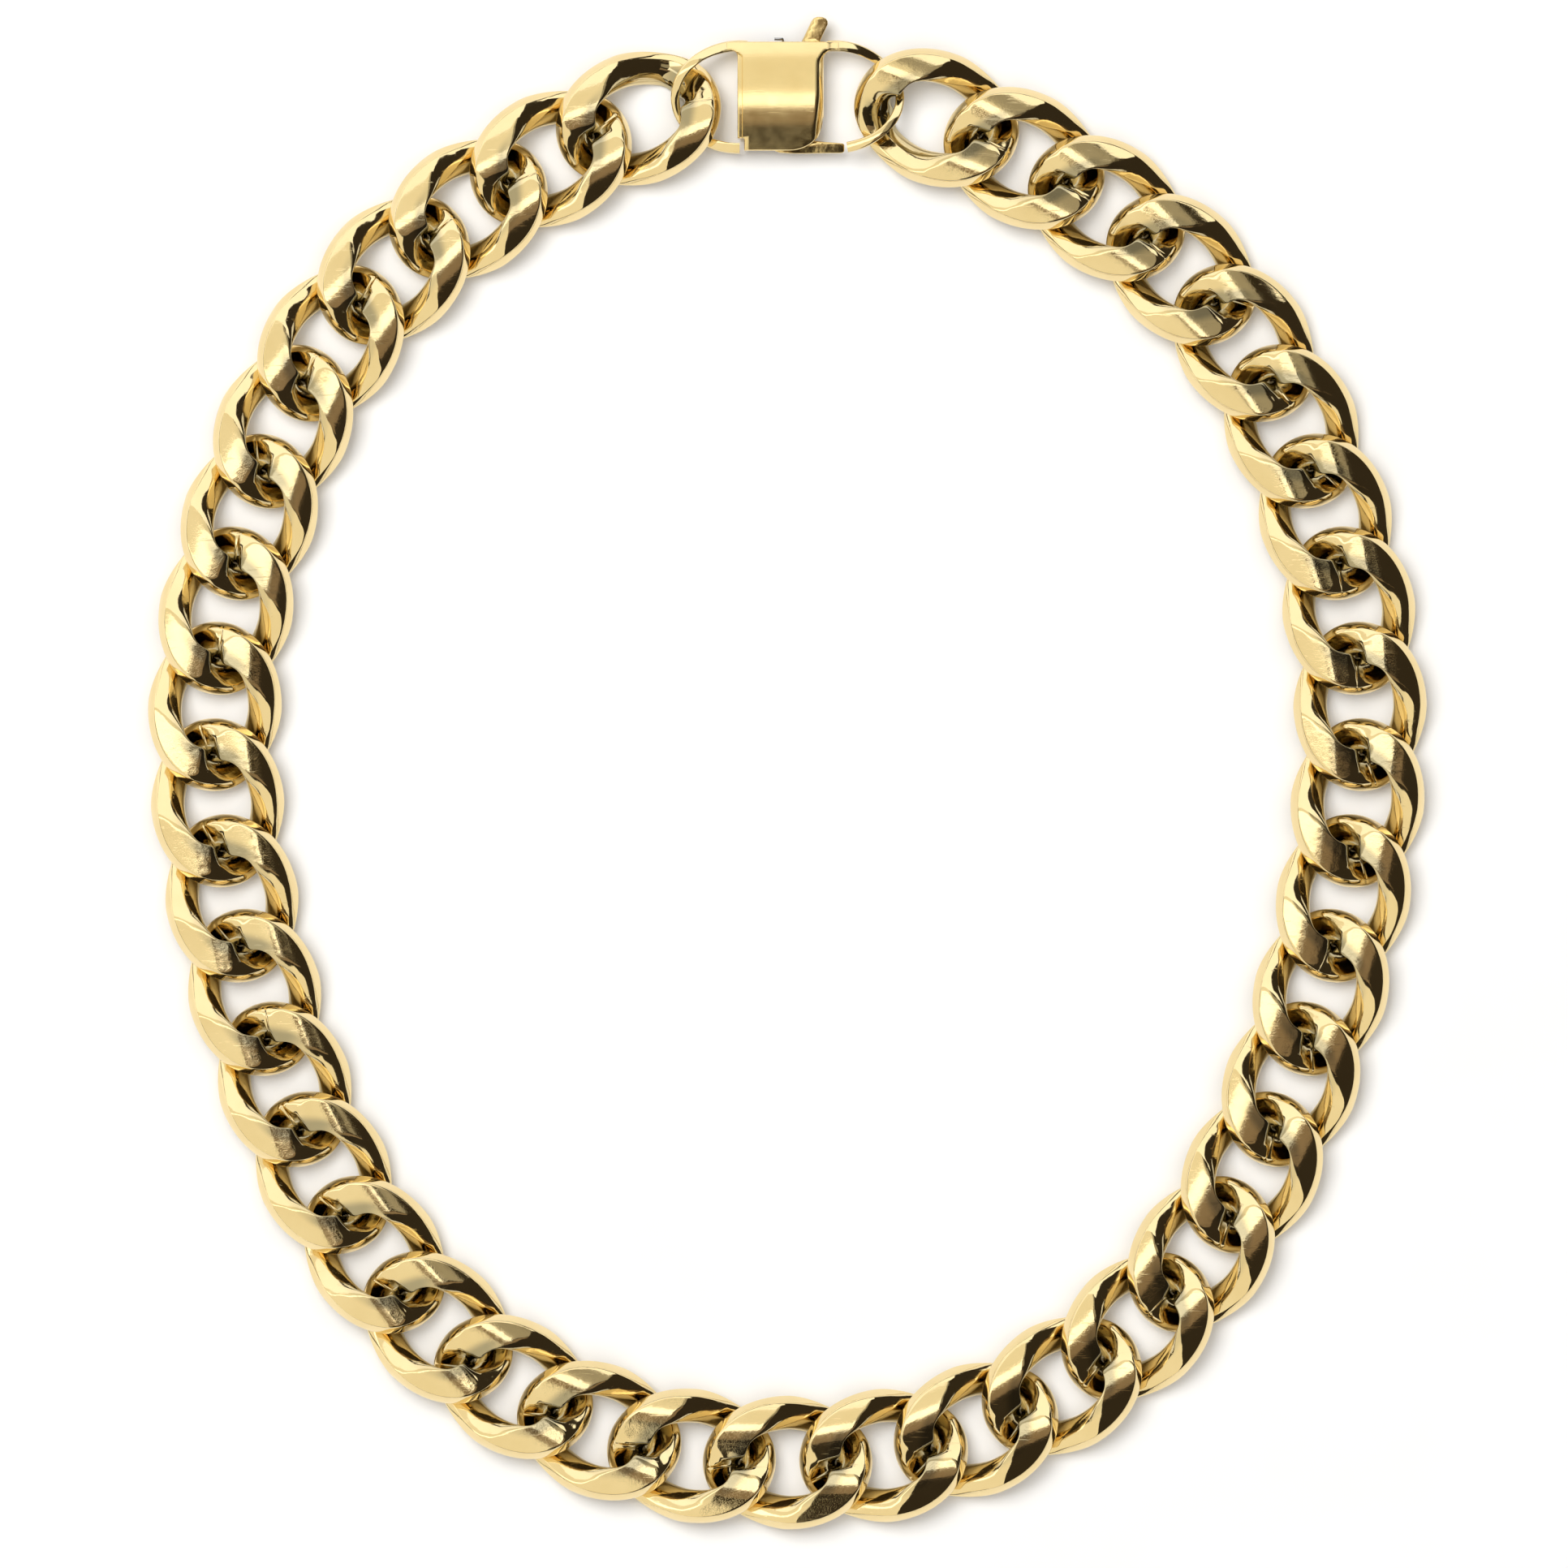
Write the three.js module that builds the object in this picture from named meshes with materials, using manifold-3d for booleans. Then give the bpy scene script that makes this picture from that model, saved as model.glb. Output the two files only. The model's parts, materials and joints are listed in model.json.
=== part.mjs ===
// Curb-link chain necklace with a double-loop lobster clasp, lying flat and closed. Units are mm.
// +X is to the right, +Y towards the clasp, +Z up. The chain rests on z = 0.
import * as THREE from "three";
import { mergeVertices } from "three/addons/utils/BufferGeometryUtils.js";
import Module from "manifold-3d";

const wasm = await Module();
wasm.setup();

// ---- chain ----
const LINKS_PER_SIDE = 19;
const LINK_LENGTH = 19.35;
const LINK_WIDTH = 15.2;
const WIRE_WIDTH = 3.8;
const WIRE_HALF_HEIGHT = 1.62;
const LINK_TWIST = THREE.MathUtils.degToRad(58);
const LINK_HALF_THICKNESS = 2.55;
const LINK_STEPS = 26;

// Outline of the wire: [share of half width, share of half height], the outer side first.
const WIRE_SECTION = [
  [1, -0.5],
  [1, 0.5],
  [0.55, 1],
  [-0.35, 1],
  [-1, 0.3],
  [-1, -0.3],
  [-0.35, -1],
  [0.55, -1],
];

// Half of the line that the links' contact points lie on, from the bottom middle up to the clasp.
const ROUTE = [
  [0, 0.2],
  [16.7, 2.1],
  [36.2, 12.2],
  [50.8, 29.1],
  [59.7, 49.6],
  [64.8, 71.4],
  [65.6, 88],
  [62.9, 104.3],
  [54.9, 124.9],
  [40.6, 141.1],
  [22, 152.3],
  [11.9, 156.2],
];

// ---- clasp, in a frame with its middle between the two chain ends ----
const LOOP_CENTRE_X = 5.4;
const LOOP_CENTRE_Y = 0.3;
const LOOP_HALF_LENGTH = 7.45;
const LOOP_HALF_HEIGHT = 5.75;
const LOOP_RISE = 1.15;
const STRIP_HALF_WIDTH = 0.6;
const STRIP_HALF_HEIGHT = 0.7;
const LOOP_STEPS = 20;
const FIXED_LOOP_END = THREE.MathUtils.degToRad(175);
const HOOK_END = THREE.MathUtils.degToRad(169);
const LOOP_START = THREE.MathUtils.degToRad(-11);

const SHELL_CROWN_Z = 1.85;
const SHELL_THICKNESS = 0.6;
const DOME_RADIUS = 25;
const DOME_STEPS = 96;
const SHELL_BOTTOM_Z = -1.55;
const BACK_TOP_Z = -1.6;
const BACK_BOTTOM_Z = -2.15;
const SLOT_LEFT = -4.75;
const SLOT_RIGHT = 3.35;
const TAB_SLOT_RIGHT = 3.78;
const TAB_SLOT_BOTTOM_Y = 2;
const GATE_OPENING_TOP_Y = -1.9;
const GATE_OPENING_RIGHT = 4.5;
const SMALLEST_DETAIL = 0.01;

const PIVOT = [-0.9, -4.4];
const PIN_RADIUS = 0.45;
const PIN_HEAD_RADIUS = 0.85;
const PIN_HEAD_HEIGHT = 0.25;
const PIN_TOP_Z = 0.45;
const PIN_CLEARANCE = 0.08;
const ROUND_STEPS = 20;

const LEVER_BOTTOM_Z = -0.55;
const LEVER_TOP_Z = 0.2;

const SPRING_WIRE_RADIUS = 0.17;
const SPRING_COIL_RADIUS = 0.78;
const SPRING_LOW_Z = -1.33;
const SPRING_HIGH_Z = -0.79;
const SPRING_SIDES = 6;
const SPRING_STEPS = 40;

const gold = new THREE.MeshStandardMaterial({ color: 0xe3b95b, metalness: 1, roughness: 0.15 });
const satinGold = new THREE.MeshStandardMaterial({ color: 0xdcb154, metalness: 1, roughness: 0.35 });
const steel = new THREE.MeshStandardMaterial({ color: 0xb9bcc0, metalness: 1, roughness: 0.3 });

// A closed skin around rings of points, all with the same count, either joined end to start or capped.
function skin(rings, closed) {
  const count = rings[0].length;
  const points = rings.flat();
  const faces = [];
  const bands = closed ? rings.length : rings.length - 1;
  for (let i = 0; i < bands; i++) {
    const here = i * count;
    const next = ((i + 1) % rings.length) * count;
    for (let j = 0; j < count; j++) {
      const k = (j + 1) % count;
      faces.push(here + j, next + j, here + k);
      faces.push(here + k, next + j, next + k);
    }
  }
  if (!closed) {
    const last = (rings.length - 1) * count;
    for (let j = 1; j < count - 1; j++) {
      faces.push(0, j, j + 1);
      faces.push(last, last + j + 1, last + j);
    }
  }
  const geometry = new THREE.BufferGeometry();
  geometry.setAttribute("position", new THREE.Float32BufferAttribute(points.flat(), 3));
  geometry.setIndex(faces);
  return geometry;
}

// One chain link: an oval ring of wire turned about its long axis, then filed flat above and below.
function linkGeometry() {
  const halfWire = WIRE_WIDTH / 2;
  const a = LINK_LENGTH / 2 - halfWire;
  const b = LINK_WIDTH / 2 - halfWire;
  const rings = [];
  for (let i = 0; i < LINK_STEPS; i++) {
    const angle = (2 * Math.PI * i) / LINK_STEPS;
    const out = new THREE.Vector2(b * Math.cos(angle), a * Math.sin(angle)).normalize();
    const ring = WIRE_SECTION.map(([across, up]) => {
      const x = a * Math.cos(angle) + across * halfWire * out.x;
      const y = b * Math.sin(angle) + across * halfWire * out.y;
      const z = up * WIRE_HALF_HEIGHT;
      const turn = (-LINK_TWIST * x) / a;
      const height = y * Math.sin(turn) + z * Math.cos(turn);
      return [
        x,
        y * Math.cos(turn) - z * Math.sin(turn),
        THREE.MathUtils.clamp(height, -LINK_HALF_THICKNESS, LINK_HALF_THICKNESS),
      ];
    });
    rings.push(ring);
  }
  return skin(rings, true);
}

// A strip bent around one side of the clasp. side is -1 for the fixed loop and 1 for the hook.
function loopGeometry(side, end) {
  const w = STRIP_HALF_WIDTH;
  const h = STRIP_HALF_HEIGHT;
  const section = [
    [w, -h / 2],
    [w, h / 2],
    [w / 2, h],
    [-w / 2, h],
    [-w, h / 2],
    [-w, -h / 2],
    [-w / 2, -h],
    [w / 2, -h],
  ];
  const rings = [];
  for (let i = 0; i <= LOOP_STEPS; i++) {
    const angle = LOOP_START + ((end - LOOP_START) * i) / LOOP_STEPS;
    const out = new THREE.Vector2(
      LOOP_HALF_HEIGHT * Math.sin(angle),
      LOOP_HALF_LENGTH * Math.cos(angle),
    ).normalize();
    const x = LOOP_CENTRE_X + LOOP_HALF_LENGTH * Math.sin(angle);
    const y = LOOP_CENTRE_Y + LOOP_HALF_HEIGHT * Math.cos(angle);
    const z = -side * LOOP_RISE * Math.sin(2 * angle);
    const ring = section.map(([across, up]) => [
      side * (x + across * out.x),
      y + across * out.y,
      z + up,
    ]);
    rings.push(side > 0 ? ring.reverse() : ring);
  }
  return skin(rings, false);
}

// The outline as a slab from z = low to z = high.
function slab(outline, low, high, holes = []) {
  const shape = new THREE.Shape(outline.map(([x, y]) => new THREE.Vector2(x, y)));
  shape.holes = holes;
  const options = { depth: high - low, bevelEnabled: false, curveSegments: ROUND_STEPS };
  return new THREE.ExtrudeGeometry(shape, options).translate(0, 0, low);
}

function circle(x, y, radius) {
  const points = [];
  for (let i = 0; i < ROUND_STEPS; i++) {
    const angle = (2 * Math.PI * i) / ROUND_STEPS;
    points.push([x + radius * Math.cos(angle), y + radius * Math.sin(angle)]);
  }
  return points;
}

function toSolid(geometry) {
  const bare = geometry.clone();
  bare.deleteAttribute("normal");
  bare.deleteAttribute("uv");
  const merged = mergeVertices(bare, 1e-4);
  return new wasm.Manifold(
    new wasm.Mesh({
      numProp: 3,
      vertProperties: new Float32Array(merged.attributes.position.array),
      triVerts: new Uint32Array(merged.index.array),
    }),
  );
}

function toGeometry(solid) {
  const mesh = solid.getMesh();
  const geometry = new THREE.BufferGeometry();
  const positions = [];
  for (let i = 0; i < mesh.numVert; i++) {
    positions.push(...mesh.vertProperties.subarray(i * mesh.numProp, i * mesh.numProp + 3));
  }
  geometry.setAttribute("position", new THREE.Float32BufferAttribute(positions, 3));
  geometry.setIndex([...mesh.triVerts]);
  return geometry;
}

// Outline of the clasp's case seen from above, with its large round corner at the lower right.
function caseOutline(inset) {
  const left = -5.75 + inset;
  const right = 4.15 - inset;
  const top = 6.75 - inset;
  const bottom = -5.8 + inset;
  const cornerX = 3.9 - inset;
  const cornerY = 3.5 - inset;
  const notch = 0.85;
  const points = [
    [left + notch, bottom],
    [left + notch, bottom + 1.3],
    [left, bottom + 1.5],
    [left, top],
    [right, top],
  ];
  for (let i = 0; i <= 6; i++) {
    const angle = (-Math.PI / 12) * i;
    points.push([
      right - cornerX + cornerX * Math.cos(angle),
      bottom + cornerY + cornerY * Math.sin(angle),
    ]);
  }
  return points.reverse();
}

// Front half of the clasp: a domed case open at its ends, drawn out into the loop and the hook.
function frontGeometry() {
  const domeAxisZ = SHELL_CROWN_Z - DOME_RADIUS;
  const dome = (radius) =>
    toSolid(
      new THREE.CylinderGeometry(radius, radius, 40, DOME_STEPS)
        .rotateZ(Math.PI / 2)
        .translate(0, 0, domeAxisZ),
    );
  const block = toSolid(slab(caseOutline(0), SHELL_BOTTOM_Z, SHELL_CROWN_Z + 1));
  const slot = toSolid(
    slab(
      [
        [SLOT_LEFT, -8],
        [SLOT_RIGHT, -8],
        [SLOT_RIGHT, TAB_SLOT_BOTTOM_Y],
        [TAB_SLOT_RIGHT, TAB_SLOT_BOTTOM_Y + 1],
        [TAB_SLOT_RIGHT, 8],
        [SLOT_LEFT, 8],
      ],
      SHELL_BOTTOM_Z - 1,
      SHELL_CROWN_Z,
    ),
  );
  const sideOpening = toSolid(
    slab(
      [
        [0, -8],
        [GATE_OPENING_RIGHT, -8],
        [GATE_OPENING_RIGHT, GATE_OPENING_TOP_Y],
        [0, GATE_OPENING_TOP_Y],
      ],
      SHELL_BOTTOM_Z - 1,
      SHELL_CROWN_Z,
    ),
  );
  const room = slot.add(sideOpening).intersect(dome(DOME_RADIUS - SHELL_THICKNESS));
  const loops = toSolid(loopGeometry(-1, FIXED_LOOP_END)).add(
    toSolid(loopGeometry(1, HOOK_END)),
  );
  const shell = block.intersect(dome(DOME_RADIUS)).add(loops).subtract(room);
  return toGeometry(shell.simplify(SMALLEST_DETAIL));
}

function backGeometry() {
  const hole = new THREE.Path(
    circle(...PIVOT, PIN_RADIUS + PIN_CLEARANCE).map(([x, y]) => new THREE.Vector2(x, y)),
  );
  return slab(caseOutline(0.15), BACK_BOTTOM_Z, BACK_TOP_Z, [hole]);
}

// Thumb tab at the top, stem through the case, hub on the pin and gate bar to the right.
function leverGeometry() {
  const outline = [
    [-1.9, -5.2],
    [-1.3, -6],
    [-0.4, -6.15],
    [6.05, -6.1],
    [6.3, -5.9],
    [6.3, -5.5],
    [6.05, -5.3],
    [2.2, -5],
    [1, -4.4],
    [2.9, 3],
    [3.5, 6],
    [3.7, 6.95],
    [4.6, 8.7],
    [4.55, 9.2],
    [3.9, 9.65],
    [3.3, 9.6],
    [2.85, 9.1],
    [1.65, 6.8],
    [0.9, 4],
    [-1.6, -3.3],
    [-2.1, -4.4],
  ];
  const hole = new THREE.Path(
    circle(...PIVOT, PIN_RADIUS + PIN_CLEARANCE).map(([x, y]) => new THREE.Vector2(x, y)),
  );
  return slab(outline, LEVER_BOTTOM_Z, LEVER_TOP_Z, [hole]);
}

// Headed pin that the lever turns on. Its head is under the back plate.
function rivetGeometry() {
  const headBottom = BACK_BOTTOM_Z - PIN_HEAD_HEIGHT;
  const profile = [
    [0, headBottom],
    [PIN_HEAD_RADIUS - 0.15, headBottom],
    [PIN_HEAD_RADIUS, headBottom + 0.1],
    [PIN_HEAD_RADIUS, BACK_BOTTOM_Z - 0.02],
    [PIN_RADIUS, BACK_BOTTOM_Z - 0.02],
    [PIN_RADIUS, PIN_TOP_Z],
    [0, PIN_TOP_Z],
  ];
  const points = profile.map(([r, z]) => new THREE.Vector2(r, z));
  return new THREE.LatheGeometry(points, ROUND_STEPS)
    .rotateX(Math.PI / 2)
    .translate(PIVOT[0], PIVOT[1], 0);
}

// Return spring: a long leg to the top edge of the case, one turn around the pin, a short leg to the lever.
class SpringPath extends THREE.Curve {
  getPoint(t) {
    const legTop = new THREE.Vector3(-0.75, 6.85, SPRING_LOW_Z);
    const coilTurn = 3 * Math.PI;
    const coil = (share) => {
      const angle = Math.PI + coilTurn * share;
      return new THREE.Vector3(
        PIVOT[0] + SPRING_COIL_RADIUS * Math.cos(angle),
        PIVOT[1] + SPRING_COIL_RADIUS * Math.sin(angle),
        THREE.MathUtils.lerp(SPRING_LOW_Z, SPRING_HIGH_Z, share),
      );
    };
    const legEnd = new THREE.Vector3(-1.15, -1, SPRING_HIGH_Z);
    const hookEnd = new THREE.Vector3(-1.2, -0.85, LEVER_BOTTOM_Z + 0.4);
    if (t < 0.45) return legTop.lerp(coil(0), t / 0.45);
    if (t < 0.8) return coil((t - 0.45) / 0.35);
    if (t < 0.94) return coil(1).lerp(legEnd, (t - 0.8) / 0.14);
    return legEnd.lerp(hookEnd, (t - 0.94) / 0.06);
  }
}

function springGeometry() {
  const section = [];
  for (let i = 0; i < SPRING_SIDES; i++) {
    const angle = (2 * Math.PI * i) / SPRING_SIDES;
    section.push(
      new THREE.Vector2(
        SPRING_WIRE_RADIUS * Math.cos(angle),
        SPRING_WIRE_RADIUS * Math.sin(angle),
      ),
    );
  }
  return new THREE.ExtrudeGeometry(new THREE.Shape(section), {
    steps: SPRING_STEPS,
    extrudePath: new SpringPath(),
  });
}

const necklace = new THREE.Group();

function addMesh(name, geometry, material) {
  const mesh = new THREE.Mesh(geometry, material);
  mesh.name = name;
  necklace.add(mesh);
  return mesh;
}

// Contact points on one half of the chain: the first is half a pitch from the bottom middle.
const route = new THREE.SplineCurve(ROUTE.map(([x, y]) => new THREE.Vector2(x, y)));
route.arcLengthDivisions = 2000;
const contacts = [];
for (let k = 0; k <= LINKS_PER_SIDE; k++) {
  contacts.push(route.getPointAt((k + 0.5) / (LINKS_PER_SIDE + 0.5)));
}
contacts.unshift(new THREE.Vector2(-contacts[0].x, contacts[0].y));

// A link that lies between two contact points. side is -1 on the left and 1 on the right.
const link = linkGeometry();
function addLink(number, side, step) {
  const from = contacts[step];
  const to = contacts[step + 1];
  const mesh = addMesh("link_" + String(number).padStart(2, "0"), link, gold);
  mesh.position.set((side * (from.x + to.x)) / 2, (from.y + to.y) / 2, LINK_HALF_THICKNESS);
  mesh.rotation.z = Math.atan2(to.y - from.y, side * (to.x - from.x));
}

const middle = LINKS_PER_SIDE + 1;
for (let step = LINKS_PER_SIDE; step >= 1; step--) addLink(middle - step, -1, step);
for (let step = 0; step <= LINKS_PER_SIDE; step++) addLink(middle + step, 1, step);

const claspPlace = [0, contacts[LINKS_PER_SIDE + 1].y, LINK_HALF_THICKNESS];
addMesh("clasp_front", frontGeometry(), satinGold).position.set(...claspPlace);
addMesh("clasp_back", backGeometry(), satinGold).position.set(...claspPlace);
addMesh("clasp_lever", leverGeometry(), gold).position.set(...claspPlace);
addMesh("clasp_rivet", rivetGeometry(), gold).position.set(...claspPlace);
addMesh("clasp_spring", springGeometry(), steel).position.set(...claspPlace);

// The frame's origin is the middle of the whole necklace, on the surface it lies on.
necklace.updateMatrixWorld(true);
const centre = new THREE.Box3().setFromObject(necklace, true).getCenter(new THREE.Vector3());
for (const mesh of necklace.children) {
  mesh.position.x -= centre.x;
  mesh.position.y -= centre.y;
}

export default necklace;
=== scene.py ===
"""Curb-link chain necklace with a double-loop lobster clasp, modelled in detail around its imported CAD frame."""

import json
import math
import random

import bmesh
import bpy
import numpy as np
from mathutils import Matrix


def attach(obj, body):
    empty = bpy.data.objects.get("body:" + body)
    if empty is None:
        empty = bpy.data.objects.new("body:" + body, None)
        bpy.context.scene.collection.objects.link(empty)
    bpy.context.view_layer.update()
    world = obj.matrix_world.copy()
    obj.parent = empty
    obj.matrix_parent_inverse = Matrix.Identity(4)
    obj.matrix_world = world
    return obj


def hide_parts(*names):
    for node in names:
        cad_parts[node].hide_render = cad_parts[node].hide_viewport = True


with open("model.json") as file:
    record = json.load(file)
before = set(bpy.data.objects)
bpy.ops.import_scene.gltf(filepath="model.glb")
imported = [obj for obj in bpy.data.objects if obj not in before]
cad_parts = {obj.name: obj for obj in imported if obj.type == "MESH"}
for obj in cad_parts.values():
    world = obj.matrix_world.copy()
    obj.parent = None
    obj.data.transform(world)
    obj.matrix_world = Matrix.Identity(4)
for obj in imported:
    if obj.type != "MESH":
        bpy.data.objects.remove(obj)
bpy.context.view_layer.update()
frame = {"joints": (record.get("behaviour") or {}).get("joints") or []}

MM = 0.001
joints = {joint["name"]: joint for joint in frame["joints"]}
rng = random.Random(7)

# Links, in mm. The chain runs from left to right, the upper left and lower right arms are the high ones.
# t is the angle round the oval, 0 at its right end. u runs across the wire, from -1 inside to 1 outside.
LINKS = 39
MIDDLE_LINK = 20
OVAL_A = 7.77
OVAL_B = 5.72
WIRE_HALF_WIDTH = 1.93
WIRE_HALF_HEIGHT = 1.55
WIRE_POWER = 2.3
WIRE_PEAK = 0.3
INNER_POWER = 1.7
INNER_POWER_AT_ENDS = 0.8
ARM_RISE = 2.0
SHEAR = 0.375
SHEAR_CURVE = 0.125
END_WIDENING = 0.24
LIP = 0.6
CROSSING_CUT = 0.6
FILING_SOFTNESS = 0.5
BEVEL_START = 0.56
BEVEL_POWER = 1.25
LOW_ARM_NARROWING = 0.07
FACET_TOP = 2.53
FACET_CREST_Y = 3.3
FACET_RADIUS = 8.5
SEAM_DEPTH = 0.05
STATIONS = 170
BEVEL_POINTS = 9
TOP_POINTS = 24


def ease(x, low, high):
    """Smooth step from 0 at low to 1 at high."""
    q = np.clip((x - low) / (high - low), 0, 1)
    return q * q * (3 - 2 * q)


def link_top(u, t, filing):
    """Height of the link's upper surface, and how deeply it is filed there."""
    lift, tilt, crest = filing
    sway = -ARM_RISE * np.sin(2 * t)
    _, y = link_plan(u, t)
    outer = np.clip((u - WIRE_PEAK) / (1 - WIRE_PEAK), 0, 1)
    inner = np.clip((WIRE_PEAK - u) / (1 + WIRE_PEAK), 0, 1)
    power = INNER_POWER + INNER_POWER_AT_ENDS * np.cos(t) ** 2
    bulge = (1 - outer**WIRE_POWER) ** (1 / WIRE_POWER) * (1 - inner**power) ** (1 / power)
    round_top = sway * (1 - SHEAR * u - SHEAR_CURVE * u * u) + WIRE_HALF_HEIGHT * bulge
    round_top -= CROSSING_CUT * np.clip(np.sin(2 * t), 0, 1) * ease(u, -0.3, 0.6) * (1 - ease(u, 0.7, 1))
    out = np.abs(y) - crest
    facet = FACET_TOP + lift + tilt * out - out * out / (2 * FACET_RADIUS)
    facet = np.where(out < -1, facet + (out + 1) ** 2 / (2 * FACET_RADIUS), facet)
    blend = FILING_SOFTNESS * ease(-u, -0.2, 0.4) + 1e-6
    overlap = np.clip(1 - np.abs(round_top - facet) / blend, 0, 1)
    return np.minimum(round_top, facet) - overlap**2 * blend / 4, round_top - facet


def link_plan(u, t):
    """Plan position of a point of the link."""
    out_x = OVAL_B * np.cos(t)
    out_y = OVAL_A * np.sin(t)
    size = np.hypot(out_x, out_y)
    slant = np.abs(np.sin(t))
    lip = LIP * ease(slant, 0.03, 0.38) * (1 - ease(slant, 0.42, 0.85))
    across = u * WIRE_HALF_WIDTH - (END_WIDENING * np.abs(np.cos(t)) ** 8 + lip) * np.clip(-u, 0, 1)
    x = OVAL_A * np.cos(t) + across * out_x / size
    y = OVAL_B * np.sin(t) + across * out_y / size
    low = np.clip(np.sin(2 * t), 0, 1) ** 1.5
    return x, y * (1 - LOW_ARM_NARROWING * low)


def link_surface(u, t, filing):
    """link_top with the steep bevel along the wire's outer side."""
    height, depth = link_top(np.minimum(u, BEVEL_START), t, filing)
    silhouette, _ = link_top(np.ones_like(u), t, filing)
    q = np.clip((u - BEVEL_START) / (1 - BEVEL_START), 0, 1)
    fall = 1 - (1 - q**BEVEL_POWER) ** (1 / BEVEL_POWER)
    silhouette = np.minimum(silhouette, height)
    return height + (silhouette - height) * fall, np.where(u > BEVEL_START, -1, depth)


def link_painted_shade(u, t):
    """How far a point of the upper surface lies hidden in the crossing with the next link, or on the wire's inner
    side: the strength of the painted shade there.
    """
    near_end = ease(np.abs(np.cos(t)), 0.45, 0.8)
    inside = ease(-u, 0.2, 0.65) * (0.35 + 0.65 * near_end)
    # Painted shade also on the low side towards the link's ends, where the next link lies over it.
    under = ease(np.sin(2 * t), 0.1, 0.6) * near_end * ease(0.6 - u, 0, 0.6)
    return np.maximum(inside, under)


def link_rings(number):
    """Points of one link as an array [station, point around the wire, xyz], with a mask of filed skin and a mask of
    painted shade on hidden skin.
    """
    filing = (rng.uniform(-0.05, 0.02), rng.uniform(-0.02, 0.02), FACET_CREST_Y + rng.uniform(-0.25, 0.25))
    seam = math.pi * rng.uniform(0.94, 1.12)
    t = np.arange(STATIONS) * 2 * math.pi / STATIONS
    seam_cut = np.array([-0.02, -0.008, 0, 0.008, 0.02])
    t = np.sort(np.concatenate([t[np.abs(t - seam) > 0.03], seam + seam_cut]))
    bevel_end = math.acos(BEVEL_START)
    angles = np.concatenate([
        np.linspace(0, bevel_end - 0.012, BEVEL_POINTS),
        np.linspace(bevel_end + 0.012, math.pi, TOP_POINTS),
    ])
    u_top = np.cos(angles)
    tt, uu = np.meshgrid(t, u_top, indexing="ij")
    top, filed = link_surface(uu, tt, filing)
    bottom, filed_below = link_surface(uu, -tt, filing)
    x, y = link_plan(uu, tt)
    groove = SEAM_DEPTH * (np.abs(tt - seam) < 0.009)
    upper = np.stack([x, y, top - groove * np.sqrt(np.clip(1 - uu * uu, 0, 1))], -1)
    lower = np.stack([x, y, -bottom], -1)[:, ::-1]
    rings = np.concatenate([upper, lower[:, 1:-1]], 1)
    mask = np.concatenate([filed, filed_below[:, ::-1][:, 1:-1]], 1)
    painted_shade = np.concatenate([link_painted_shade(uu, tt), link_painted_shade(uu, -tt)[:, ::-1][:, 1:-1]], 1)
    return rings, np.clip(mask * 4 + 0.5, 0, 1), painted_shade


def ring_faces(count, sides, closed, first=0):
    """Quads between rings of points."""
    faces = []
    for i in range(count if closed else count - 1):
        here = first + i * sides
        after = first + ((i + 1) % count) * sides
        for j in range(sides):
            k = (j + 1) % sides
            faces.append((here + j, after + j, after + k, here + k))
    if not closed:
        faces.append(tuple(first + j for j in reversed(range(sides))))
        faces.append(tuple(first + (count - 1) * sides + j for j in range(sides)))
    return faces


def add_object(name, mesh, material, body, nodes, smooth_angle=35):
    obj = bpy.data.objects.new(name, mesh)
    bpy.context.scene.collection.objects.link(obj)
    obj.data.materials.append(material)
    mesh.polygons.foreach_set("use_smooth", [True] * len(mesh.polygons))
    if smooth_angle:
        mesh.set_sharp_from_angle(angle=math.radians(smooth_angle))
    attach(obj, body)
    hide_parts(*nodes)
    return obj


def build_mesh(name, points, faces):
    mesh = bpy.data.meshes.new(name)
    mesh.from_pydata([tuple(p) for p in points], [], faces)
    mesh.update()
    return mesh


# ---- materials ----
def add_node(tree, kind, inputs=None, **settings):
    node = tree.nodes.new(kind)
    for key, value in settings.items():
        setattr(node, key, value)
    for key, value in (inputs or {}).items():
        if isinstance(value, bpy.types.NodeSocket):
            tree.links.new(value, node.inputs[key])
        else:
            node.inputs[key].default_value = value
    return node


def ramp(tree, fac, stops):
    node = add_node(tree, "ShaderNodeValToRGB", {0: fac})
    elements = node.color_ramp.elements
    while len(elements) < len(stops):
        elements.new(0.5)
    for element, (place, colour) in zip(elements, stops):
        element.position = place
        element.color = colour if len(colour) == 4 else (*colour, 1)
    return node.outputs[0]


def grey(value):
    return (value, value, value)


def new_material(name):
    material = bpy.data.materials.new(name)
    material.use_nodes = True
    tree = material.node_tree
    tree.nodes.clear()
    shader = add_node(tree, "ShaderNodeBsdfPrincipled", {"Metallic": 1.0})
    output = add_node(tree, "ShaderNodeOutputMaterial")
    tree.links.new(shader.outputs[0], output.inputs[0])
    place = add_node(tree, "ShaderNodeTexCoord").outputs["Object"]
    return material, tree, shader, place


def noise(tree, place, scale, detail=3.0, stretch=None):
    if stretch:
        place = add_node(tree, "ShaderNodeMapping", {0: place, 3: stretch}).outputs[0]
    return add_node(tree, "ShaderNodeTexNoise", {"Vector": place, "Scale": scale, "Detail": detail}).outputs[0]


# Tint of the painted shade in the links' crevices and on their inner sides.
PAINTED_SHADE_TINT = (0.5, 0.54, 0.62)


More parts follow.
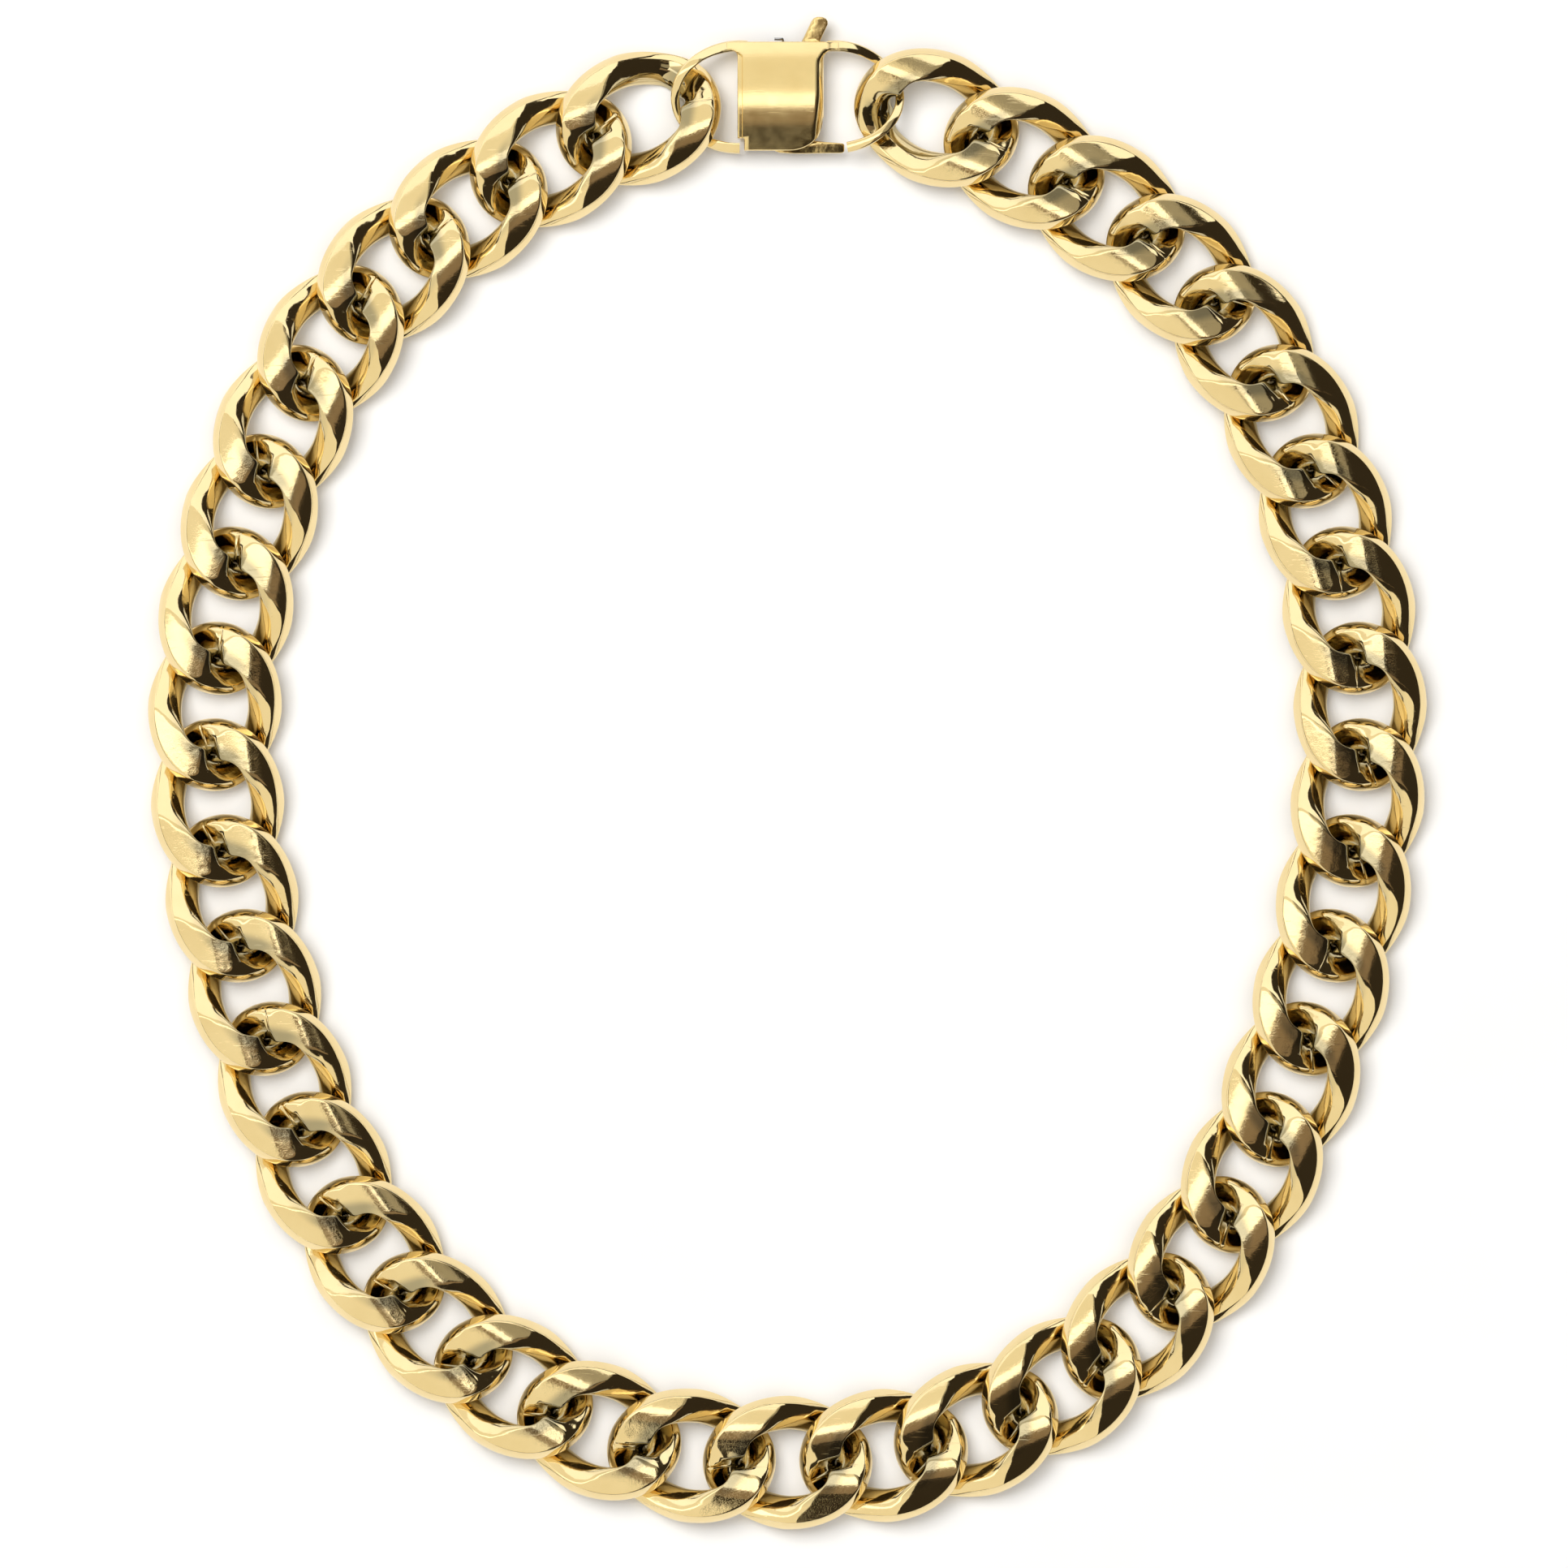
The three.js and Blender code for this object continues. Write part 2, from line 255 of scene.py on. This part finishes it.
def metal(name, dark, light, rough, waves, grain, filed_grain=0.0, brushed=0.0, scratches=0.25):
    """Plated metal: colour and gloss that vary slightly, slow waves of the polish, fine grain, and brush lines."""
    material, tree, shader, place = new_material(name)
    tone = noise(tree, place, 260, 4)
    colour = ramp(tree, tone, [(0.3, dark), (0.7, light)])
    # Painted shade: on the links the base colour is darkened and cooled towards a grey-blue tint in the crevices
    # where they cross and on the wires' inner sides.
    if filed_grain:
        inside = add_node(tree, "ShaderNodeAttribute", attribute_name="painted_shade").outputs["Fac"]
        shade_tint = ramp(tree, inside, [(0.0, grey(1)), (1.0, PAINTED_SHADE_TINT)])
        colour = add_node(tree, "ShaderNodeVectorMath", {0: colour, 1: shade_tint}, operation="MULTIPLY").outputs[0]
    tree.links.new(colour, shader.inputs["Base Color"])
    haze = noise(tree, place, 900, 5)
    tree.links.new(ramp(tree, haze, [(0.35, grey(rough[0])), (0.75, grey(rough[1]))]), shader.inputs["Roughness"])
    normal = None
    layers = [(noise(tree, place, 700, 2), waves, 0.0002)]
    layers.append((noise(tree, place, 9000, 3), grain, 0.00002))
    if scratches:
        lines = noise(tree, place, 2500, 2, (0.06, 1.0, 1.0))
        layers.append((ramp(tree, lines, [(0.66, grey(1)), (0.69, grey(0)), (0.72, grey(1))]), scratches, 0.00001))
    if brushed:
        layers.append((noise(tree, place, 14000, 2, (0.04, 1.0, 1.0)), brushed, 0.00002))
    for height, strength, distance in layers:
        bump = add_node(tree, "ShaderNodeBump", {"Strength": strength, "Distance": distance, "Height": height})
        if normal:
            tree.links.new(normal, bump.inputs["Normal"])
        normal = bump.outputs[0]
    if filed_grain:
        mask = add_node(tree, "ShaderNodeAttribute", attribute_name="filed").outputs["Fac"]
        pits = ramp(tree, noise(tree, place, 7000, 4), [(0.5, grey(0)), (0.62, grey(1))])
        held = add_node(tree, "ShaderNodeMath", {0: pits, 1: mask}, operation="MULTIPLY").outputs[0]
        pitting = {"Strength": filed_grain, "Distance": 0.00001, "Height": held, "Normal": normal}
        normal = add_node(tree, "ShaderNodeBump", pitting).outputs[0]
    tree.links.new(normal, shader.inputs["Normal"])
    return material


polished = metal(
    "polished_gold_metal", (0.84, 0.665, 0.345), (0.885, 0.715, 0.39),
    (0.05, 0.1), 0.06, 0.02, filed_grain=0.12,
)
satin = metal(
    "satin_gold_metal", (0.86, 0.665, 0.32), (0.9, 0.715, 0.36),
    (0.13, 0.18), 0.02, 0.01, brushed=0.08, scratches=0.1,
)
strip_gold = metal(
    "strip_gold_metal", (0.84, 0.665, 0.345), (0.885, 0.715, 0.39),
    (0.06, 0.12), 0.08, 0.02, scratches=0.1,
)
cast = metal("cast_gold_metal", (0.66, 0.49, 0.21), (0.86, 0.665, 0.32), (0.12, 0.26), 0.35, 0.12)
steel = metal("spring_steel_metal", (0.42, 0.42, 0.43), (0.6, 0.6, 0.61), (0.18, 0.3), 0.05, 0.1)


# ---- chain ----
def contact(number, side):
    """Contact point at a link's left (-1) or right (1) end, in mm."""
    if side < 0:
        joint = number if number > MIDDLE_LINK else number - 1
    else:
        joint = number if number < MIDDLE_LINK else number + 1
    name = f"fold_{joint:02d}" if joint else "clasp_swing"
    if number == LINKS and side > 0:
        x, y, _ = joints["clasp_swing"]["pos_m"]
        return np.array([-x, y]) / MM
    return np.array(joints[name]["pos_m"][:2]) / MM


LINK_MIDDLE_Z = joints["fold_19"]["pos_m"][2] / MM

for number in range(1, LINKS + 1):
    rings, filed, painted_shade = link_rings(number)
    left, right = contact(number, -1), contact(number, 1)
    along = (right - left) / np.linalg.norm(right - left)
    middle = (left + right) / 2
    x, y = rings[..., 0], rings[..., 1]
    placed = np.stack([
        middle[0] + x * along[0] - y * along[1],
        middle[1] + x * along[1] + y * along[0],
        LINK_MIDDLE_Z + rings[..., 2],
    ], -1)
    count, sides = rings.shape[:2]
    name = f"link_{number:02d}"
    mesh = build_mesh(name + "_wire", placed.reshape(-1, 3) * MM, ring_faces(count, sides, True))
    # Point attributes: the filed mask for the pitting bumps, and the painted shade that darkens the crevices and the
    # wires' inner sides.
    for mask_name, values in (("filed", filed), ("painted_shade", painted_shade)):
        attribute = mesh.attributes.new(mask_name, "FLOAT", "POINT")
        attribute.data.foreach_set("value", values.astype(np.float32).ravel())
    add_object(name + "_wire", mesh, polished, name, [name], 0)

# ---- clasp, in mm around the middle between the two ends of the chain ----
CLASP_MIDDLE = np.array([0.0, joints["clasp_swing"]["pos_m"][1] / MM, joints["clasp_swing"]["pos_m"][2] / MM])
PIVOT = np.array(joints["lever_press"]["pos_m"]) / MM - CLASP_MIDDLE
LOOP_STEPS = 150
SHELL_TOP = 1.8
SHELL_THICKNESS = 0.55
SHELL_BOTTOM = -1.55
DOME_RADIUS = 18.0
DOME_START = 0.6
TOP_RADIUS = 22.0
WING_BOTTOM = -0.75
LEDGE_X = 5.12
LEDGE_DEPTH = 0.32
PLATE_TOP, PLATE_BOTTOM = -1.62, -2.13
LEVER_BOTTOM, LEVER_TOP = -0.55, 0.2
PIN_HOLE = 0.53
LOOP_RX, LOOP_RY = 7.45, 5.75
LOOP_CENTRE = (5.4, 0.3)
LOOP_CORNER = 0.2
LOOP_TWIST = 1.15
SPRING_LOW, SPRING_HIGH = -1.33, -0.79
SPRING_COIL = 0.78
SPRING_WIRE = 0.165


def arc(x, y, rx, ry, start, end, steps):
    """Points along part of an ellipse, with its angles in degrees."""
    angles = np.radians(np.linspace(start, end, steps))
    return [(x + rx * math.cos(a), y + ry * math.sin(a)) for a in angles]


def strip_loop(side, start, end):
    """Mesh of a bent strip with rounded edges. side is -1 for the fixed loop and 1 for the hook."""
    section = []
    for cx, cy, first in ((1, 1, 0), (-1, 1, 90), (-1, -1, 180), (1, -1, 270)):
        section += [(cx, cy, math.radians(first + a)) for a in (4, 30, 60, 86)]
    rings = []
    for angle in np.radians(np.linspace(start, end, LOOP_STEPS)):
        top = max(0.0, math.cos(angle))
        bottom = max(0.0, -math.cos(angle))
        half = 0.5 + 0.13 * top**4 + 0.1 * ease(bottom, 0.75, 0.97)
        high = 0.62 - 0.1 * math.sin(angle) ** 2
        out = np.array([LOOP_RY * math.sin(angle), LOOP_RX * math.cos(angle)])
        out /= np.linalg.norm(out)
        x = LOOP_CENTRE[0] + LOOP_RX * math.sin(angle)
        y = LOOP_CENTRE[1] + LOOP_RY * math.cos(angle) + 0.22 * top**3
        z = -side * LOOP_TWIST * math.sin(2 * angle) * ease(angle, 0, 0.8)
        ring = []
        for cx, cy, a in section:
            across = cx * (half - LOOP_CORNER) + LOOP_CORNER * math.cos(a)
            up = cy * (high - LOOP_CORNER) + LOOP_CORNER * math.sin(a)
            up -= 0.3 * across * (max(top, bottom) if side < 0 else top)
            ring.append((side * (x + across * out[0]), y + across * out[1], z + up))
        rings.append(ring[::-1] if side > 0 else ring)
    points = np.array(rings).reshape(-1, 3)
    return points, ring_faces(LOOP_STEPS, len(section), False)


def slab(outline, low, high, holes=(), bevel=0.0, segments=3, cuts_x=(), cuts_y=()):
    """bmesh of a flat-ended prism with rounded edges, cut into strips so that it can be bent."""
    bm = bmesh.new()
    verts = [bm.verts.new((x, y, low)) for x, y in outline]
    face = bm.faces.new(verts)
    made = bmesh.ops.extrude_face_region(bm, geom=[face])
    lifted = [v for v in made["geom"] if isinstance(v, bmesh.types.BMVert)]
    bmesh.ops.translate(bm, vec=(0, 0, high - low), verts=lifted)
    bmesh.ops.recalc_face_normals(bm, faces=bm.faces)
    if bevel:
        flat = [e for e in bm.edges if abs(e.verts[0].co.z - e.verts[1].co.z) < 1e-6]
        settings = {"offset": bevel, "segments": segments, "profile": 0.5, "clamp_overlap": True}
        bmesh.ops.bevel(bm, geom=flat, affect="EDGES", **settings)
    for axis, cuts in ((0, cuts_x), (1, cuts_y)):
        for value in cuts:
            place, normal = [0, 0, 0], [0, 0, 0]
            place[axis], normal[axis] = value, 1
            everything = [*bm.verts, *bm.edges, *bm.faces]
            bmesh.ops.bisect_plane(bm, geom=everything, plane_co=place, plane_no=normal, dist=1e-5)
    return bm


def bm_to_object(bm, name):
    mesh = bpy.data.meshes.new(name)
    bm.to_mesh(mesh)
    bm.free()
    obj = bpy.data.objects.new(name, mesh)
    bpy.context.scene.collection.objects.link(obj)
    return obj


def combined(base, tool, operation):
    """Mesh of base after a boolean with tool. Both objects are removed."""
    modifier = base.modifiers.new("cut", "BOOLEAN")
    modifier.object = tool
    modifier.operation = operation
    modifier.solver = "EXACT"
    bpy.context.view_layer.update()
    result = base.evaluated_get(bpy.context.evaluated_depsgraph_get())
    mesh = bpy.data.meshes.new_from_object(result)
    for obj in (base, tool):
        bpy.data.objects.remove(obj)
    return mesh


def dome_drop(y):
    """The case is nearly flat at the top and rolls down towards the bottom edge."""
    radius = DOME_RADIUS if y < DOME_START else TOP_RADIUS
    return radius - math.sqrt(radius**2 - (y - DOME_START) ** 2)


def case_outline(grow=0.0):
    """Case from above: wings that run into the strips, a big round lower right corner, a notch at the lower left."""
    left, right, top, bottom = -5.72 - grow, 4.14 + grow, 6.72 + grow, -5.72 - grow
    points = [(left + 0.78, bottom), (left + 0.78, bottom + 1.25), (left + 0.7, bottom + 1.37), (left, bottom + 1.42)]
    points += arc(left - 0.75, 5.0, 0.75, 0.72, 0, 88, 8)
    points += [(left - 1.3, 5.74), (left - 1.3, top - 0.04), (left - 0.9, top)]
    points += [(right + 1.3, top), (right + 1.75, top - 0.06), (right + 1.75, 5.74)]
    points += arc(right + 1.05, 4.75, 1.05, 1.0, 92, 180, 10)
    points += arc(right - 3.9, bottom + 3.5, 3.9, 3.5, 0, -90, 22)
    return points


def case_face(x, y, z):
    """Bends the flat top of the case: domed, a ledge on the left and a wide rounded side on the right."""
    z -= dome_drop(y)
    edge = 3.35 - 0.45 * ease(-y, -1.0, 4.5) + 0.9 * ease(y, 4.2, 6.2)
    z -= max(0.0, (min(x, 4.2) - edge) / 0.84) ** 1.8
    ledge = LEDGE_X + 0.9 * ease(y, 4.9, 5.8)
    z -= LEDGE_DEPTH * ease(-x, ledge, ledge + 0.08) * (1 - ease(y, 5.0, 5.75))
    wings = ease(abs(x + 0.8), 4.9, 6.3)
    return z * (1 - wings) + (z - 0.35) * wings


def case_shell():
    cuts_y = np.concatenate([np.linspace(-5.6, 4.75, 28), np.linspace(4.85, 6.6, 15)])
    left_cuts = [-6.3, -6.0, -5.8, -5.6, -5.5, -5.4, -5.3, -5.2, -5.12, -5.0]
    cuts_x = np.concatenate([np.linspace(-7, 2.6, 12), left_cuts, np.linspace(2.7, 6.0, 18)])
    block = slab(case_outline(), SHELL_BOTTOM, SHELL_TOP, bevel=0.16, cuts_x=cuts_x, cuts_y=cuts_y)
    for vert in block.verts:
        if vert.co.z > 0:
            vert.co.z = case_face(*vert.co)
    for vert in block.verts:
        if vert.co.z < WING_BOTTOM and (vert.co.x < -5.8 or vert.co.x > 4.6):
            vert.co.z = WING_BOTTOM
    base = bm_to_object(block, "case_block")
    room_outline = [(-4.75, -8), (4.4, -8), (4.4, -1.9), (3.3, -1.9), (3.3, 2), (3.75, 3), (3.75, 8), (-4.75, 8)]
    room = slab(room_outline, SHELL_BOTTOM - 1, SHELL_TOP - SHELL_THICKNESS, cuts_y=cuts_y)
    for vert in room.verts:
        if vert.co.z > 0:
            vert.co.z -= dome_drop(max(-6.7, min(6.7, vert.co.y)))
            if vert.co.x > 3.2:
                vert.co.z = min(vert.co.z, 0.45)
    return combined(base, bm_to_object(room, "case_room"), "DIFFERENCE")


def clasp_front():
    bm = bmesh.new()
    shell = case_shell()
    bm.from_mesh(shell)
    bpy.data.meshes.remove(shell)
    for side, end in ((-1, 179.5), (1, 169)):
        points, faces = strip_loop(side, -6, end)
        verts = [bm.verts.new(p) for p in points]
        for face in faces:
            bm.faces.new([verts[i] for i in face]).material_index = 1
    return bm


def place_clasp(bm, name, material, body, nodes, angle):
    """Moves a part from clasp millimetres into the shared frame and adds it."""
    for vert in bm.verts:
        vert.co = [(vert.co[i] + CLASP_MIDDLE[i]) * MM for i in range(3)]
    bmesh.ops.recalc_face_normals(bm, faces=bm.faces)
    mesh = bpy.data.meshes.new(name)
    bm.to_mesh(mesh)
    bm.free()
    return add_object(name, mesh, material, body, nodes, angle)


def with_hole(bm, name, low, high, radius):
    """The part with a round hole for the pin."""
    outline = arc(PIVOT[0], PIVOT[1], radius, radius, 0, 360 - 7.5, 48)
    blank = bm_to_object(bm, name + "_blank")
    drill = bm_to_object(slab(outline, low - 1, high + 1), name + "_drill")
    mesh = combined(blank, drill, "DIFFERENCE")
    drilled = bmesh.new()
    drilled.from_mesh(mesh)
    bpy.data.meshes.remove(mesh)
    return drilled


def lever_outline():
    points = [(-2.05, -4.5), (-1.85, -5.2), (-1.45, -5.75), (-0.9, -5.95), (0.5, -6.05)]
    points += [(6.1, -5.98)] + arc(6.2, -5.68, 0.3, 0.28, -80, -5, 5) + arc(6.15, -5.15, 0.36, 0.3, 10, 85, 5)
    points += [(4.5, -4.72), (2.6, -4.55), (1.6, -4.4), (1.05, -4.1)]
    points += [(2.9, 3), (3.5, 6), (3.75, 6.95), (4.2, 7.9), (4.62, 8.75)]
    points += [(4.6, 9.1), (4.4, 9.4), (4.0, 9.58), (3.4, 9.6), (3.0, 9.45), (2.75, 9.15)]
    points += [(2.15, 7.9), (1.62, 6.8), (0.9, 4), (-1.6, -3.3)]
    return points


def clasp_lever():
    cuts_y = [*np.linspace(6.9, 9.5, 12), -5.8, -5.4, -5.0]
    cuts_x = np.linspace(1, 6.4, 16)
    bm = slab(lever_outline(), LEVER_BOTTOM, LEVER_TOP, bevel=0.13, cuts_y=cuts_y, cuts_x=cuts_x)
    for vert in bm.verts:
        if vert.co.z > 0 and vert.co.y > 6.6:
            edge = 1.5 + (vert.co.y - 6.7) * 0.5
            vert.co.z -= 0.2 * (1 - ease(vert.co.x, edge, edge + 0.35)) + 0.13 * (9.6 - vert.co.y)
        if vert.co.z > 0 and vert.co.y < -4.5 and vert.co.x > 1.2:
            vert.co.z -= 0.12 * ease(vert.co.y, -4.85, -4.6) + 0.3 * ease(-vert.co.y, 4.7, 6.3)
    return with_hole(bm, "lever", LEVER_BOTTOM, LEVER_TOP, PIN_HOLE)


def clasp_back():
    outline = [p for p in case_outline(-0.12) if -5.9 < p[0] < 4.2]
    plate = slab(outline, PLATE_BOTTOM, PLATE_TOP, bevel=0.12)
    return with_hole(plate, "plate", PLATE_BOTTOM, PLATE_TOP, PIN_HOLE)


def clasp_rivet():
    head = [(0.35, -2.39), (0.6, -2.35), (0.76, -2.28), (0.84, -2.2), (0.85, -2.16)]
    shank = [(0.45, -2.16), (0.45, 0.38), (0.4, 0.44)]
    steps = 48
    bm = bmesh.new()
    rings = []
    for radius, z in head + shank:
        circle = [2 * math.pi * i / steps for i in range(steps)]
        rings.append([
            bm.verts.new((PIVOT[0] + radius * math.cos(a), PIVOT[1] + radius * math.sin(a), z)) for a in circle
        ])
    for lower, upper in zip(rings, rings[1:]):
        for i in range(steps):
            k = (i + 1) % steps
            bm.faces.new((lower[i], lower[k], upper[k], upper[i]))
    bm.faces.new(rings[0][::-1])
    bm.faces.new(rings[-1])
    return bm


def spring_path():
    """Middle line of the return spring: top leg, one and a half turns round the pin, short leg with a hooked end."""
    low, high = SPRING_LOW, SPRING_HIGH
    points = [(-1.5, 7.12, low + 0.3), (-0.55, 7.12, low + 0.3), (-0.5, 6.88, low + 0.1)]
    points += [(-0.62, 6.6, low), (-0.95, 3.5, low), (-1.3, 0.0, low), (-1.6, -3.2, low)]
    for i in range(49):
        angle = math.pi + 3 * math.pi * i / 48
        x = PIVOT[0] + SPRING_COIL * math.cos(angle)
        y = PIVOT[1] + SPRING_COIL * math.sin(angle)
        points.append((x, y, low + (high - low) * i / 48))
    points += [(-0.3, -3.4, high), (-0.75, -2.1, high), (-1.12, -1.05, high)]
    points += [(-1.18, -0.88, -0.6), (-1.2, -0.85, -0.2)]
    return np.array(points)


def clasp_spring():
    points = spring_path()
    tangents = np.gradient(points, axis=0)
    tangents /= np.linalg.norm(tangents, axis=1)[:, None]
    sides = 14
    circle = np.arange(sides) * 2 * math.pi / sides
    bm = bmesh.new()
    normal = np.array([0, 0, 1.0])
    rings = []
    for point, tangent in zip(points, tangents):
        normal = normal - tangent * normal.dot(tangent)
        normal /= np.linalg.norm(normal)
        across = np.cross(tangent, normal)
        rings.append([
            bm.verts.new(point + SPRING_WIRE * (math.cos(a) * normal + math.sin(a) * across)) for a in circle
        ])
    for here, after in zip(rings, rings[1:]):
        for i in range(sides):
            k = (i + 1) % sides
            bm.faces.new((here[i], here[k], after[k], after[i]))
    bm.faces.new(rings[0][::-1])
    bm.faces.new(rings[-1])
    return bm


front = place_clasp(clasp_front(), "clasp_case_and_loops", satin, "clasp", ["clasp_front"], 32)
front.data.materials.append(strip_gold)
place_clasp(clasp_back(), "clasp_back_plate", satin, "clasp", ["clasp_back"], 40)
place_clasp(clasp_lever(), "clasp_thumb_lever", cast, "lever", ["clasp_lever"], 40)
place_clasp(clasp_rivet(), "clasp_pin", cast, "clasp", ["clasp_rivet"], 50)
place_clasp(clasp_spring(), "clasp_return_spring", steel, "clasp", ["clasp_spring"], 0)

# ---- floor, lights and camera ----
SWEEP_RADIUS = 0.9
SWEEP_RISE = 0.32
WALL_RADIUS = 1.35
FLOOR_GAP = 0.00002


def add_floor():
    profile = [(0.0, 0.0), (SWEEP_RADIUS, 0.0)]
    for i in range(1, 13):
        angle = i / 12 * math.pi / 2
        radius = SWEEP_RADIUS + (WALL_RADIUS - SWEEP_RADIUS) * math.sin(angle)
        profile.append((radius, SWEEP_RISE * (1 - math.cos(angle))))
    steps = 96
    points = [(0, 0, 0)]
    faces = []
    for radius, height in profile[1:]:
        for i in range(steps):
            a = 2 * math.pi * i / steps
            points.append((radius * math.cos(a), radius * math.sin(a), height))
    for i in range(steps):
        faces.append((0, 1 + i, 1 + (i + 1) % steps))
        for ring in range(len(profile) - 2):
            here, after = 1 + ring * steps, 1 + (ring + 1) * steps
            faces.append((here + i, after + i, after + (i + 1) % steps, here + (i + 1) % steps))
    mesh = build_mesh("studio_floor", [(x, y, z - FLOOR_GAP) for x, y, z in points], faces)
    mesh.polygons.foreach_set("use_smooth", [True] * len(mesh.polygons))
    floor = bpy.data.objects.new("studio_floor", mesh)
    bpy.context.scene.collection.objects.link(floor)
    material, tree, shader, place = new_material("studio_paper")
    shader.inputs["Metallic"].default_value = 0.0
    shader.inputs["Roughness"].default_value = 0.9
    shader.inputs["Specular IOR Level"].default_value = 0.1
    paper = noise(tree, place, 40, 4)
    colour = ramp(tree, paper, [(0.3, (0.86, 0.852, 0.835)), (0.7, (0.89, 0.882, 0.866))])
    tree.links.new(colour, shader.inputs["Base Color"])
    floor.data.materials.append(material)


def add_panel(name, x0, x1, y0, y1, z, radiance, colour=(1, 1, 1), glossy=True, diffuse=True):
    """A softbox that faces down, from x0 to x1 and y0 to y1 in metres."""
    light = bpy.data.lights.new(name, "AREA")
    light.shape = "RECTANGLE"
    light.size = x1 - x0
    light.size_y = y1 - y0
    light.energy = radiance * math.pi * light.size * light.size_y
    light.color = colour
    lamp = bpy.data.objects.new(name, light)
    lamp.location = ((x0 + x1) / 2, (y0 + y1) / 2, z)
    bpy.context.scene.collection.objects.link(lamp)
    lamp.visible_glossy = glossy
    lamp.visible_diffuse = diffuse


add_floor()
WARM_WHITE = (1, 0.955, 0.82)
CEILING = (1, 0.76, 0.54)
add_panel("softbox_back", -2.4, 0.07, 0.14, 0.5, 0.8, 0.95, WARM_WHITE, diffuse=False)
add_panel("softbox_far", -2.4, 0.75, 0.5, 2.4, 0.8, 1.3, diffuse=False)
add_panel("softbox_bright", -2.4, 0.07, 0.0, 0.14, 0.8, 1.9, (1, 0.99, 0.96), diffuse=False)
add_panel("softbox_left", -2.4, -0.05, -2.4, 0.0, 0.8, 0.95, WARM_WHITE, diffuse=False)
add_panel("softbox_dim", 0.07, 0.3, 0.08, 0.5, 0.8, 0.35, WARM_WHITE, diffuse=False)
add_panel("ceiling_brown", -0.05, 0.3, -0.19, 0.0, 0.8, 0.24, CEILING, diffuse=False)
add_panel("floor_key", -1.4, -0.1, 0.1, 1.4, 2.0, 6.3, glossy=False)
add_panel("floor_fill", -2.0, 2.0, -2.0, 2.0, 2.1, 1.24, glossy=False)

world = bpy.data.worlds.new("studio")
bpy.context.scene.world = world
world.use_nodes = True
world.node_tree.nodes["Background"].inputs[0].default_value = (0.035, 0.028, 0.02, 1)
world.node_tree.nodes["Background"].inputs[1].default_value = 1.0

PHOTO_WIDTH = 0.1797
PHOTO_CENTRE = (-0.0004, -0.0013)
CAMERA_HEIGHT = 1.3
camera_data = bpy.data.cameras.new("camera")
camera_data.sensor_width = 36
camera_data.lens = camera_data.sensor_width * CAMERA_HEIGHT / PHOTO_WIDTH
camera_data.clip_start, camera_data.clip_end = 0.05, 20
camera = bpy.data.objects.new("camera", camera_data)
camera.location = (*PHOTO_CENTRE, CAMERA_HEIGHT)
bpy.context.scene.collection.objects.link(camera)
bpy.context.scene.camera = camera
bpy.context.scene.view_settings.view_transform = "Standard"
